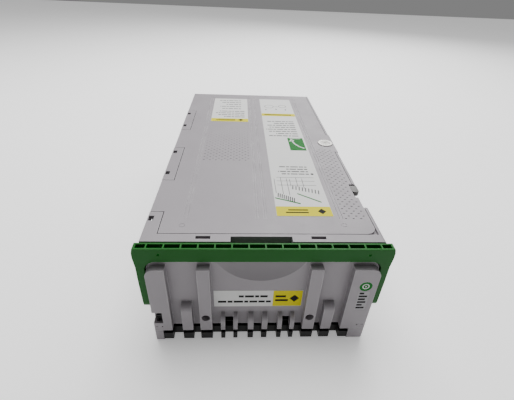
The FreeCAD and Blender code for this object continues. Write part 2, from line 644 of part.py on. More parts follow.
def push_plate():
    low = floor + 3
    high = HEIGHT - PUSH_TOP_GAP
    plate = box(NOTE_X - 90, NOTE_X + 90, PUSH_REST, PUSH_REST + PUSH_THICK, low, high)
    pieces = [plate]
    for x in (NOTE_X - 60, NOTE_X - 20, NOTE_X + 20, NOTE_X + 60):
        pieces.append(box(x - 1, x + 1, PUSH_REST + PUSH_THICK, PUSH_REST + 9, low, high))
    for side in (-1, 1):
        x0, x1 = sorted((NOTE_X + side * 88, side * (rod_x + 5.5)))
        pieces.append(box(x0, x1, PUSH_REST, PUSH_REST + 18, ROD_Z - 7, ROD_Z + 7))
    # the arm that reaches out to the belt
    pieces.append(box(NOTE_X + 86, belt_x + BELT_WIDTH / 2 + 1.2, PUSH_REST, PUSH_REST + 8,
                      PULLEY_Z - PULLEY_R - 6.5, PULLEY_Z - PULLEY_R - BELT_THICK - 0.1))
    body = fuse(pieces)
    return cut(body, [rod_along_y(PUSH_REST - 1, PUSH_REST + 19, side * rod_x, ROD_Z, ROD_R + 1.5)
                      for side in (-1, 1)])


def push_plate_bushes():
    solids = []
    for side in (-1, 1):
        bush = rod_along_y(PUSH_REST, PUSH_REST + 18, side * rod_x, ROD_Z, ROD_R + 1.5)
        solids.append(bush.cut(rod_along_y(PUSH_REST - 1, PUSH_REST + 19, side * rod_x, ROD_Z, ROD_R + FIT)))
    return group(solids)


def guide_rods():
    return group([rod_along_y(62.0, LENGTH - WALL, side * rod_x, ROD_Z, ROD_R) for side in (-1, 1)])


def rod_brackets():
    solids = []
    for side in (-1, 1):
        for d0 in (66.0, LENGTH - WALL - 9):
            block = box(side * rod_x - 5, side * rod_x + 5, d0, d0 + 8, floor, ROD_Z + 5.5)
            solids.append(block.cut(rod_along_y(d0 - 1, d0 + 9, side * rod_x, ROD_Z, ROD_R)))
    return group(solids)


def belt_outline(extra, x0, x1):
    r = PULLEY_R + extra
    return fuse([
        rod_along_x(x0, x1, PULLEY_DEPTH, PULLEY_Z, r),
        rod_along_x(x0, x1, rear_pulley_depth, PULLEY_Z, r),
        box(x0, x1, PULLEY_DEPTH, rear_pulley_depth, PULLEY_Z - r, PULLEY_Z + r),
    ])


def push_belt():
    x0 = belt_x - BELT_WIDTH / 2
    x1 = belt_x + BELT_WIDTH / 2
    return belt_outline(BELT_THICK + FIT, x0, x1).cut(belt_outline(FIT, x0 - 1, x1 + 1))


def belt_clamp():
    z = PULLEY_Z - PULLEY_R
    x0 = belt_x - BELT_WIDTH / 2 - GAP
    x1 = belt_x + BELT_WIDTH / 2 + GAP
    clamp = box(x0 - 1.5, x1 + 1.5, PUSH_REST, PUSH_REST + 8, z - BELT_THICK - 0.1, z + 2.5)
    slot = box(x0, x1, PUSH_REST - 1, PUSH_REST + 9, z - BELT_THICK - 0.1, z + GAP)
    return clamp.cut(slot)


def pulley(depth, hole_r):
    x0 = belt_x - BELT_WIDTH / 2 - 0.5
    x1 = belt_x + BELT_WIDTH / 2 + 0.5
    body = fuse([
        rod_along_x(x0, x1, depth, PULLEY_Z, PULLEY_R),
        rod_along_x(x0 - 1.2, x0, depth, PULLEY_Z, PULLEY_R + 2),
        rod_along_x(x1, x1 + 1.2, depth, PULLEY_Z, PULLEY_R + 2),
    ])
    return body.cut(rod_along_x(x0 - 2, x1 + 2, depth, PULLEY_Z, hole_r))


def drive_coupling():
    """Pulley shaft with a two-dog coupling at its outer end, just inside the wall's face."""
    shaft = rod_along_x(plate_right, inner + 0.5, PULLEY_DEPTH, PULLEY_Z, SHAFT_R)
    cup = rod_along_x(inner - 3, half - 0.5, PULLEY_DEPTH, PULLEY_Z, COUPLING_R)
    cup = cup.cut(rod_along_x(inner + 0.5, half, PULLEY_DEPTH, PULLEY_Z, COUPLING_R - 2))
    dog = box(inner + 0.4, half - 0.9, PULLEY_DEPTH - COUPLING_R + 1, PULLEY_DEPTH + COUPLING_R - 1,
              PULLEY_Z - 1, PULLEY_Z + 1)
    return fuse([shaft, cup, dog])


def coupling_bush():
    bush = rod_along_x(plate_right, plate_right + PLATE_THICK, PULLEY_DEPTH, PULLEY_Z, BUSH_R)
    return bush.cut(rod_along_x(plate_right - 1, plate_right + 4, PULLEY_DEPTH, PULLEY_Z, SHAFT_R + FIT))


# ---- Lid, hinge, latch and lock ---------------------------------------------------------------

def lug_ends():
    """Depths of the lid's hinge lugs, one at each end of a block that the lid meets."""
    spans = [(BLOCKS[0][1] + SEAM, BLOCKS[0][1] + SEAM + LUG_LENGTH)]
    for start, end in BLOCKS[1:]:
        spans.append((start - SEAM - LUG_LENGTH, start - SEAM))
        spans.append((end + SEAM, end + SEAM + LUG_LENGTH))
    return spans


def lid():
    right = half - STRIP - SEAM
    left = block_right + SEAM
    edge = -half + 0.3
    start = LID_FRONT + SEAM
    end = LENGTH - 1.0
    plate = box(left, right, start, end, lid_low, HEIGHT)
    corner = edges_where(plate, lambda e: is_line_along(e, 2) and e.BoundBox.XMin > right - 1
                         and e.BoundBox.YMax < front + start + 1)
    plate = plate.makeFillet(LID_CORNER, corner)
    pieces = [plate, box(right - 1, half - 0.3, TAB[0] + SEAM, TAB[1] - SEAM, lid_low, HEIGHT)]
    # the tab's skirt closes the cut in the right wall
    pieces.append(box(half - 1.4, half - 0.3, TAB[0] + SEAM, TAB[1] - SEAM, HEIGHT - TAB_DROP + SEAM, lid_low))
    spans = [(BLOCKS[0][1], BLOCKS[1][0]), (BLOCKS[1][1], BLOCKS[2][0]), (BLOCKS[2][1], end + SEAM)]
    for d0, d1 in spans:
        pieces.append(box(edge, left + 1, d0 + SEAM, d1 - SEAM, lid_low, HEIGHT))
        # the edge strip stops short of the back wall, which it swings past
        strip_end = min(d1, LENGTH - WALL) - SEAM
        pieces.append(box(edge, edge + 2.2, d0 + SEAM, strip_end, hinge_z - LUG_BOTTOM, HEIGHT))
    for d0, d1 in lug_ends():
        lug = rod_along_y(d0, d1, hinge_x, hinge_z, HINGE_INSET - 0.3)
        pieces.append(fuse([lug, box(edge, hinge_x + HINGE_INSET, d0, d1, hinge_z, lid_low)]))
    # stiffening ribs underneath
    for x in (NOTE_X - 84, NOTE_X + 84):
        pieces.append(box(x - 1, x + 1, start + 6, end - 6, HEIGHT - 8, lid_low))
    for d in (start + 6, LENGTH * 0.33, LENGTH * 0.66, end - 8):
        pieces.append(box(NOTE_X - 84, NOTE_X + 84, d, d + 2, HEIGHT - 8, lid_low))
    whole = fuse(pieces)
    tools = [
        # the notch and the room that the latch needs
        box(half - 9.1, half, NOTCH[1] - 11.4, LATCH[1] + 2, lid_low - 1, HEIGHT + 1),
        box(half - 5.5, half, NOTCH[0], NOTCH[1], lid_low - 1, HEIGHT + 1),
        rod_along_z(lid_low - 1, HEIGHT + 1, lock_x, LOCK_DEPTH, LOCK_BODY_R),
    ]
    for d0, d1 in lug_ends():
        tools.append(rod_along_y(d0 - 1, d1 + 1, hinge_x, hinge_z, HINGE_PIN_R + FIT))
    for x in groove_places():
        tools.append(box(x - GROOVE_WIDTH / 2, x + GROOVE_WIDTH / 2, 52.0, LENGTH - 22,
                         HEIGHT - GROOVE_DEPTH, HEIGHT + 1))
    return cut(whole, tools)


def groove_places():
    """Shallow grooves that run from front to back along the lid."""
    return [NOTE_X - 75.3, NOTE_X - 71.6, NOTE_X - 3, NOTE_X - 0.5, NOTE_X + 5.3, NOTE_X + 7.5,
            NOTE_X + 82.0, NOTE_X + 85.5]


def lid_hinge_pins():
    solids = []
    for index, (start, end) in enumerate(BLOCKS):
        first = start + 12 if index == 0 else start - SEAM - LUG_LENGTH
        solids.append(rod_along_y(first, end + SEAM + LUG_LENGTH, hinge_x, hinge_z, HINGE_PIN_R))
    return group(solids)


def lid_latch():
    block = box(half - LATCH_WIDTH, half - 0.4, LATCH[0], LATCH[1], HEIGHT - 6.0, HEIGHT - 0.6)
    slanted = edges_where(block, lambda e: is_line_along(e, 2) and e.BoundBox.YMax < front + LATCH[0] + 1)
    block = block.makeChamfer(2.0, slanted)
    stem = box(half - 7, inner - GAP, LATCH[1] - 4, LATCH[1], HEIGHT - 12.0, HEIGHT - 5.0)
    bar = box(half - 7, inner - GAP, LATCH[1] - 2, LATCH_BAR_END, HEIGHT - 12.0, HEIGHT - 7.5)
    hooks = []
    for d in (LATCH[1] + 12, LATCH_BAR_END - 20):
        hooks.append(box(half - 7, inner - GAP, d, d + 4, HEIGHT - 8, HEIGHT - 6.2))
    return fuse([block, stem, bar] + hooks)


def latch_spring():
    """Outside of the return coil behind the latch bar."""
    z = HEIGHT - 9.7
    x = (half - 7 + inner - GAP) / 2
    coil = rod_along_y(LATCH_BAR_END + 0.2, LATCH_BAR_END + 8.5, x, z, 2.0)
    return coil.cut(rod_along_y(LATCH_BAR_END, LATCH_BAR_END + 9, x, z, 1.4))


lock_low = HEIGHT - LOCK_LENGTH
nut_thick = 3.5


def lock_body():
    body = fuse([
        rod_along_z(lock_low, HEIGHT, lock_x, LOCK_DEPTH, LOCK_BODY_R),
        rod_along_z(HEIGHT, HEIGHT + LOCK_PROUD, lock_x, LOCK_DEPTH, LOCK_BODY_R + LOCK_LIP),
    ])
    rim = edges_where(body, lambda e: e.BoundBox.ZMin > HEIGHT + LOCK_PROUD - 0.1)
    body = body.makeChamfer(0.6, rim)
    return body.cut(rod_along_z(lock_low - 1, HEIGHT + 3, lock_x, LOCK_DEPTH, LOCK_BARREL_R + FIT))


def lock_barrel():
    top = HEIGHT + LOCK_PROUD - 0.3
    barrel = rod_along_z(lock_low - 0.2, top, lock_x, LOCK_DEPTH, LOCK_BARREL_R)
    keyway = box(lock_x - 3.4, lock_x + 3.4, LOCK_DEPTH - 0.9, LOCK_DEPTH + 0.9, top - 8, top + 1)
    return cut(barrel, [keyway])


def lock_cam():
    z0 = lock_low - 2.2
    cam = fuse([
        rod_along_z(z0, z0 + 2, lock_x, LOCK_DEPTH, 6.0),
        box(lock_x - CAM_REACH, lock_x, LOCK_DEPTH - 5, LOCK_DEPTH + 5, z0, z0 + 2),
    ])
    return cut(cam, [rod_along_z(z0 - 1, z0 + 3, lock_x, LOCK_DEPTH, 1.6)])


def cam_screw():
    z0 = lock_low - 4.2
    return fuse([
        rod_along_z(z0, z0 + 2, lock_x, LOCK_DEPTH, 3.0),
        rod_along_z(z0 + 1, lock_low - 0.2, lock_x, LOCK_DEPTH, 1.55),
    ])


def lock_nut():
    outline = []
    for index in range(6):
        angle = index * math.pi / 3
        outline.append((lock_x + 12.2 * math.cos(angle), LOCK_DEPTH + 12.2 * math.sin(angle)))
    nut = prism_along_z(lid_low - nut_thick, lid_low, outline)
    nut = nut.common(box(lock_x - 20, half - 1.5, LOCK_DEPTH - 20, LOCK_DEPTH + 20, 0, HEIGHT))
    return nut.cut(rod_along_z(0, HEIGHT, lock_x, LOCK_DEPTH, LOCK_BODY_R))


# ---- Carrying handle --------------------------------------------------------------------------

def carry_handle():
    bar_low = HEIGHT - BAR_HEIGHT
    back = BAR_FRONT + BAR_DEPTH
    inside = cover_half + ARM_GAP
    outside = inside + ARM_THICK
    # the outline from the front: the bar, its chamfered ends and the two tapering arms
    right_side = [(outside + 0.4, HEIGHT), (outside + BAR_REACH, HEIGHT - 5), (outside + BAR_REACH, bar_low + 4),
                  (outside + 0.4, bar_low - 7), (outside + 0.5, PIVOT_Z + 30), (outside - 0.6, 0)]
    outline = [(-x, z) for x, z in reversed(right_side)] + right_side
    blank = prism_along_y(BAR_FRONT, back, outline)
    opening = box(-inside, inside, BAR_FRONT - 1, back + 1, -1, bar_low)
    for side in (-1, 1):
        opening = opening.cut(quarter_outside(side * (inside - HANDLE_INNER_R), bar_low - HANDLE_INNER_R,
                                              HANDLE_INNER_R, BAR_FRONT - 2, back + 2, side))
    blank = blank.cut(opening)
    blank = blank.cut(box(-half - 20, half + 20, BAR_FRONT - 1, back + 1, -1, PIVOT_Z))
    pieces = [blank]
    for side in (-1, 1):
        x0 = min(side * inside, side * (outside - 0.3))
        x1 = max(side * inside, side * (outside - 0.3))
        pieces.append(rod_along_x(x0, x1, PIVOT_DEPTH, PIVOT_Z, ARM_END_R))
        # the arm widens to its round end
        pieces.append(prism_along_x(x0, x1, [
            (BAR_FRONT, PIVOT_Z + 20), (PIVOT_DEPTH - ARM_END_R, PIVOT_Z),
            (PIVOT_DEPTH + ARM_END_R, PIVOT_Z), (back, PIVOT_Z + 20)]))
    handle = fuse(pieces)
    tools = []
    ribs = [BAR_PITCH * (index - (BAR_RIBS - 1) / 2) for index in range(BAR_RIBS)]
    starts = [-outside + BAR_WALL] + [x + CELL_RIB / 2 for x in ribs]
    ends = [x - CELL_RIB / 2 for x in ribs] + [outside - BAR_WALL]
    for x0, x1 in zip(starts, ends):
        tools.append(box(x0, x1, BAR_FRONT + BAR_WALL, back - BAR_WALL, bar_low + BAR_WALL, HEIGHT + 1))
    for side in (-1, 1):
        tools.append(rod_along_y(BAR_FRONT - 1, BAR_FRONT + 2.5, side * (inside - 14.5), HEIGHT - 7, 1.3))
        x0 = side * (inside - 1) if side > 0 else -outside - 1
        tools.append(rod_along_x(x0, x0 + ARM_THICK + 2, PIVOT_DEPTH, PIVOT_Z, PIVOT_R + FIT))
        head = side * (outside - 2.2) if side > 0 else -outside - 1
        tools.append(rod_along_x(head, head + 3.2, PIVOT_DEPTH, PIVOT_Z, PIVOT_HEAD_R + GAP))
    return cut(handle, tools)


def handle_pivot_pins():
    outside = cover_half + ARM_GAP + ARM_THICK
    solids = []
    for side in (-1, 1):
        ends = sorted((side * (cover_half - COVER_WALL), side * (outside - 0.9)))
        head = sorted((side * (outside - 2.1), side * (outside - 0.9)))
        solids.append(fuse([
            rod_along_x(ends[0], ends[1], PIVOT_DEPTH, PIVOT_Z, PIVOT_R),
            rod_along_x(head[0], head[1], PIVOT_DEPTH, PIVOT_Z, PIVOT_HEAD_R),
        ]))
    return group(solids)


# ---- Screws and labels ------------------------------------------------------------------------

def cover_screws():
    solids = []
    for x, z in cover_screw_places():
        solids.append(fuse([
            rod_along_y(COVER_DEPTH - 6, COVER_DEPTH - 4, x, z, 2.8),
            rod_along_y(COVER_DEPTH - 5, case_front + 2.4, x, z, 1.5 - FIT),
        ]))
    return group(solids)


def labels():
    top = HEIGHT + LABEL_THICK
    face = RIB_DEPTH
    long_label = box(NOTE_X + 18, NOTE_X + 77, 56.0, LENGTH - 26.5, HEIGHT, top)
    rear_label = box(NOTE_X - 68, NOTE_X - 6, LENGTH - 151, LENGTH - 29, HEIGHT, top)
    front_label = box(NOTE_X - 45, NOTE_X + 44.4, face - LABEL_THICK, face, 45.0, 68.3)
    disc = rod_along_y(MARK_SINK, MARK_SINK + LABEL_THICK, cover_half - MARK_INSET, MARK_Z, MARK_R)
    return long_label, rear_label, front_label, disc


save("case_body", case_body())
save("front_feet", front_feet())
save("throat_cover", throat_cover())
save("throat_comb", throat_comb())
save("upper_guide", upper_guide())
save("turn_guide", turn_guide())
save("stack_front_plate", stack_front_plate())
save_gear_train()
save("push_plate", push_plate())
save("push_plate_bushes", push_plate_bushes())
save("guide_rods", guide_rods())
save("rod_brackets", rod_brackets())
save("push_belt", push_belt())
save("belt_clamp", belt_clamp())
save("front_pulley", pulley(PULLEY_DEPTH, SHAFT_R))
save("rear_pulley", pulley(rear_pulley_depth, STUD_R + FIT))
save("rear_pulley_stud", rod_along_x(belt_x - BELT_WIDTH / 2 - 2.5, inner, rear_pulley_depth, PULLEY_Z, STUD_R))
save("drive_coupling", drive_coupling())
save("coupling_bush", coupling_bush())
save("lid", lid())
save("lid_hinge_pins", lid_hinge_pins())
save("lid_latch", lid_latch())
save("latch_spring", latch_spring())
save("lock_body", lock_body())
save("lock_barrel", lock_barrel())
save("lock_cam", lock_cam())
save("cam_screw", cam_screw())
save("lock_nut", lock_nut())
save("carry_handle", carry_handle())
save("handle_pivot_pins", handle_pivot_pins())
save("cover_screws", cover_screws())
for name, shape in zip(("lid_label_long", "lid_label_rear", "front_label", "column_mark"), labels()):
    save(name, shape)
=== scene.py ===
import json
import math

import bmesh
import bpy
from mathutils import Matrix, Vector


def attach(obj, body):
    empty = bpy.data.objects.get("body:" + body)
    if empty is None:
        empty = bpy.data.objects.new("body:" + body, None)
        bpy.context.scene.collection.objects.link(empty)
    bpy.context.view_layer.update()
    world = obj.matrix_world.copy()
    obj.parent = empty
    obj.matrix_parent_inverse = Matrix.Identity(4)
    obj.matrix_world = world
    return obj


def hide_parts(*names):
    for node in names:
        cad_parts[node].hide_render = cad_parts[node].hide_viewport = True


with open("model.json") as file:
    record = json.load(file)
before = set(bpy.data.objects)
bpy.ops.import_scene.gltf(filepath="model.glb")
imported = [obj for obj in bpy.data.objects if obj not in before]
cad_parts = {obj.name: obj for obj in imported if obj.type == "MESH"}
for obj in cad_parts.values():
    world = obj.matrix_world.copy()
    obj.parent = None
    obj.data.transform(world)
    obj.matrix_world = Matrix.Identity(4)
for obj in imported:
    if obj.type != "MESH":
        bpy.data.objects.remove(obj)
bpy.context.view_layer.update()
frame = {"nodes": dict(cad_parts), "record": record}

MM = 0.001

# The camera's place and turn, and its lens and sensor in millimetres
CAMERA_AT = (-0.02564, -0.45599, 0.32890)
CAMERA_DOWN = 0.5888
CAMERA_SWING = 0.0557
CAMERA_ROLL = 0.0100
LENS = 23.705
SENSOR = 36.0

# A colour mix's sockets, and the samples of a rounded edge
MIX_FIRST, MIX_SECOND, MIX_RESULT = 6, 7, 2
EDGE_SAMPLES = 4


# ---- Materials --------------------------------------------------------------------------------

def node(tree, kind, values=(), **settings):
    """A shader node with its settings, and (socket, value) pairs for its inputs."""
    made = tree.nodes.new(kind)
    for key, value in settings.items():
        setattr(made, key, value)
    for socket, value in values:
        made.inputs[socket].default_value = value
    return made


def ramp(tree, source, low, high, low_value, high_value):
    """Maps a factor between two places to two greys."""
    made = node(tree, "ShaderNodeValToRGB")
    stops = made.color_ramp.elements
    stops[0].position = low
    stops[1].position = high
    stops[0].color = low_value
    stops[1].color = high_value
    tree.links.new(source, made.inputs["Fac"])
    return made.outputs["Color"]


def grey(value):
    return (value, value, value, 1)


def start_material(name, roughness, metallic=0.0, specular=0.5):
    material = bpy.data.materials.new(name)
    material.use_nodes = True
    tree = material.node_tree
    shader = tree.nodes["Principled BSDF"]
    shader.inputs["Roughness"].default_value = roughness
    shader.inputs["Metallic"].default_value = metallic
    shader.inputs["Specular IOR Level"].default_value = specular
    place = node(tree, "ShaderNodeTexCoord").outputs["Object"]
    return material, tree, shader, place


def noise(tree, place, scale, detail=3.0, roughness=0.5):
    made = node(tree, "ShaderNodeTexNoise",
                (("Scale", scale), ("Detail", detail), ("Roughness", roughness)))
    tree.links.new(place, made.inputs["Vector"])
    return made.outputs["Fac"]


def add_bump(tree, shader, height, distance, strength, edge_radius=0.0):
    """Bump in the surface, over edges that are a little round."""
    bump = node(tree, "ShaderNodeBump", (("Strength", strength), ("Distance", distance)))
    tree.links.new(height, bump.inputs["Height"])
    if edge_radius:
        edge = node(tree, "ShaderNodeBevel", (("Radius", edge_radius),), samples=EDGE_SAMPLES)
        tree.links.new(edge.outputs["Normal"], bump.inputs["Normal"])
    tree.links.new(bump.outputs["Normal"], shader.inputs["Normal"])


def mixed(tree, factor, first, second):
    """Mixes two colours, each given as a socket or as red, green and blue."""
    made = node(tree, "ShaderNodeMix", data_type="RGBA", blend_type="MIX")
    tree.links.new(factor, made.inputs["Factor"])
    for socket, value in ((MIX_FIRST, first), (MIX_SECOND, second)):
        if hasattr(value, "is_linked"):
            tree.links.new(value, made.inputs[socket])
        else:
            made.inputs[socket].default_value = (*value, 1)
    return made.outputs[MIX_RESULT]


def moulded_plastic(name, colour, roughness, grain, edge_radius, scuffs=0.25, specular=0.5, edge_wear_and_highlight=None):
    """Moulded plastic: slight clouding, spark-eroded grain, dull scuffs, and edges whose lighter tone is
    partly rubbing and partly a painted highlight.
    """
    material, tree, shader, place = start_material(name, roughness, 0.0, specular)
    cloud = noise(tree, place, 14.0, 4.0)
    fine = noise(tree, place, 1700.0, 2.0, 0.7)
    speck = noise(tree, place, 420.0, 5.0, 0.75)
    darker = tuple(c * 0.90 for c in colour)
    lighter = tuple(min(1.0, c * 1.07) for c in colour)
    clouded = mixed(tree, cloud, darker, lighter)
    specks = ramp(tree, speck, 0.60, 0.80, grey(0.0), grey(0.35))
    base = mixed(tree, specks, clouded, tuple(c * 0.72 for c in colour))
    if edge_wear_and_highlight:
        # the edges show a lighter tone: partly rubbing of the plastic, partly a painted highlight along
        # the edges
        edge = node(tree, "ShaderNodeBevel", (("Radius", edge_radius * 2.2),), samples=EDGE_SAMPLES)
        plain = node(tree, "ShaderNodeNewGeometry").outputs["Normal"]
        dot = node(tree, "ShaderNodeVectorMath", operation="DOT_PRODUCT")
        tree.links.new(edge.outputs["Normal"], dot.inputs[0])
        tree.links.new(plain, dot.inputs[1])
        rubbed_and_lit = ramp(tree, dot.outputs["Value"], 0.80, 0.985, grey(0.8), grey(0.0))
        broken = node(tree, "ShaderNodeMath", operation="MULTIPLY")
        tree.links.new(rubbed_and_lit, broken.inputs[0])
        patches = ramp(tree, noise(tree, place, 60.0, 3.0), 0.35, 0.6, grey(0.35), grey(1.0))
        tree.links.new(patches, broken.inputs[1])
        base = mixed(tree, broken.outputs["Value"], base, edge_wear_and_highlight)
    tree.links.new(base, shader.inputs["Base Color"])
    scuffed = noise(tree, place, 38.0, 6.0, 0.7)
    rough = ramp(tree, scuffed, 0.35, 0.75, grey(max(0.05, roughness - 0.6 * scuffs * roughness)),
                 grey(min(1.0, roughness + scuffs * roughness)))
    tree.links.new(rough, shader.inputs["Roughness"])
    add_bump(tree, shader, fine, 0.00012, grain, edge_radius)
    return material


def worked_metal(name, colour, roughness, brush=(1, 1, 1), grain=0.15, spots=0.0):
    """Metal with brush or turning marks along one direction and dull spots."""
    material, tree, shader, place = start_material(name, roughness, 1.0)
    stretch = node(tree, "ShaderNodeMapping", (("Scale", brush),))
    tree.links.new(place, stretch.inputs["Vector"])
    marks = noise(tree, stretch.outputs["Vector"], 900.0, 4.0, 0.6)
    cloud = noise(tree, place, 45.0, 4.0)
    base = mixed(tree, cloud, tuple(c * 0.86 for c in colour), tuple(min(1.0, c * 1.08) for c in colour))
    if spots:
        spot = ramp(tree, noise(tree, place, 260.0, 4.0, 0.8), 0.6, 0.7, grey(0.0), grey(spots))
        base = mixed(tree, spot, base, tuple(c * 0.45 for c in colour))
    tree.links.new(base, shader.inputs["Base Color"])
    rough = ramp(tree, marks, 0.3, 0.7, grey(roughness * 0.7), grey(min(1.0, roughness * 1.5)))
    tree.links.new(rough, shader.inputs["Roughness"])
    add_bump(tree, shader, marks, 0.00005, grain, 0.00025)
    return material


def printed_paper(name, colour, roughness=0.55):
    """Laminated label stock: a faint fibre tone, a few light creases and small dirt marks."""
    material, tree, shader, place = start_material(name, roughness, 0.0, 0.12)
    fibre = noise(tree, place, 700.0, 5.0, 0.65)
    dirt = ramp(tree, noise(tree, place, 55.0, 6.0, 0.7), 0.58, 0.82, grey(0.0), grey(0.30))
    base = mixed(tree, fibre, tuple(c * 0.93 for c in colour), colour)
    base = mixed(tree, dirt, base, tuple(c * 0.72 for c in colour))
    tree.links.new(base, shader.inputs["Base Color"])
    tree.links.new(ramp(tree, fibre, 0.3, 0.7, grey(roughness * 0.85), grey(roughness * 1.25)),
                   shader.inputs["Roughness"])
    add_bump(tree, shader, noise(tree, place, 90.0, 3.0), 0.0002, 0.12)
    return material


def moulded_rubber(name, colour):
    material, tree, shader, place = start_material(name, 0.72, 0.0, 0.35)
    bloom = ramp(tree, noise(tree, place, 120.0, 5.0, 0.7), 0.45, 0.8, grey(0.0), grey(0.5))
    base = mixed(tree, bloom, colour, tuple(c * 1.9 + 0.02 for c in colour))
    tree.links.new(base, shader.inputs["Base Color"])
    fine = noise(tree, place, 2200.0, 2.0)
    tree.links.new(ramp(tree, fine, 0.3, 0.7, grey(0.62), grey(0.85)), shader.inputs["Roughness"])
    add_bump(tree, shader, fine, 0.00008, 0.3, 0.0003)
    return material


CASE_TONE = (0.268, 0.248, 0.266)
# the last colour given to each plastic is its lighter edge tone: partly rubbing, partly painted highlight
materials = {
    "case_grey": moulded_plastic("case_plastic", CASE_TONE, 0.50, 0.22, 0.0006, 0.22, 0.42,
                                 edge_wear_and_highlight=(0.60, 0.58, 0.60)),
    "green_plastic": moulded_plastic("handle_plastic", (0.0, 0.085, 0.003), 0.40, 0.10, 0.0006,
                                     0.25, 0.16, edge_wear_and_highlight=(0.0, 0.23, 0.008)),
    "black_plastic": moulded_plastic("guide_plastic", (0.003, 0.003, 0.0032), 0.45, 0.15, 0.0005,
                                     0.3, 0.25, edge_wear_and_highlight=(0.02, 0.02, 0.021)),
    "dark_plastic": moulded_plastic("dark_plastic", (0.085, 0.083, 0.080), 0.48, 0.2, 0.0005, 0.3,
                                    edge_wear_and_highlight=(0.19, 0.185, 0.18)),
    "gear_plastic": moulded_plastic("gear_acetal", (0.010, 0.010, 0.011), 0.36, 0.08, 0.0002, 0.2),
    "white_plastic": moulded_plastic("white_acetal", (0.70, 0.69, 0.64), 0.36, 0.08, 0.0003, 0.2),
    "steel": worked_metal("ground_steel", (0.56, 0.57, 0.58), 0.26, (0.08, 1, 1), 0.12),
    "zinc_plate": worked_metal("zinc_plate", (0.60, 0.62, 0.64), 0.38, (1, 0.1, 1), 0.1, 0.4),
    "lock_metal": worked_metal("nickel_plate", (0.36, 0.35, 0.33), 0.26, (1, 1, 0.2), 0.08, 0.35),
    "bronze": worked_metal("sintered_bronze", (0.50, 0.32, 0.14), 0.42, (1, 1, 1), 0.3, 0.5),
    "rubber": moulded_rubber("roller_rubber", (0.030, 0.030, 0.031)),
    "belt_rubber": moulded_rubber("belt_rubber", (0.018, 0.018, 0.018)),
    "label_white": printed_paper("label_white", (0.66, 0.66, 0.65)),
    "label_yellow": printed_paper("label_yellow", (0.62, 0.55, 0.0)),
    "label_green": printed_paper("label_green", (0.0, 0.135, 0.012)),
    "label_black": printed_paper("label_ink", (0.006, 0.006, 0.006), 0.6),
    # the grip dots' dark grey is painted shade, standing in for the hollows of recessed dimples
    "dot_grey": moulded_plastic("dot_painted_shade", tuple(c * 0.42 for c in CASE_TONE), 0.6, 0.15, 0.0002,
                                0.2, 0.2),
    "backing_grey": printed_paper("backing_film", (0.34, 0.33, 0.345), 0.45),
    "label_grey": printed_paper("label_grey_ink", (0.07, 0.07, 0.073), 0.6),
}

for part in frame["record"]["subparts"]:
    target = frame["nodes"][part["node"]]
    target.data.materials.clear()
    target.data.materials.append(materials[part["material_slot"]])


# ---- Small shapes -----------------------------------------------------------------------------

FRONT = -0.235
CORNER_STEPS = 6


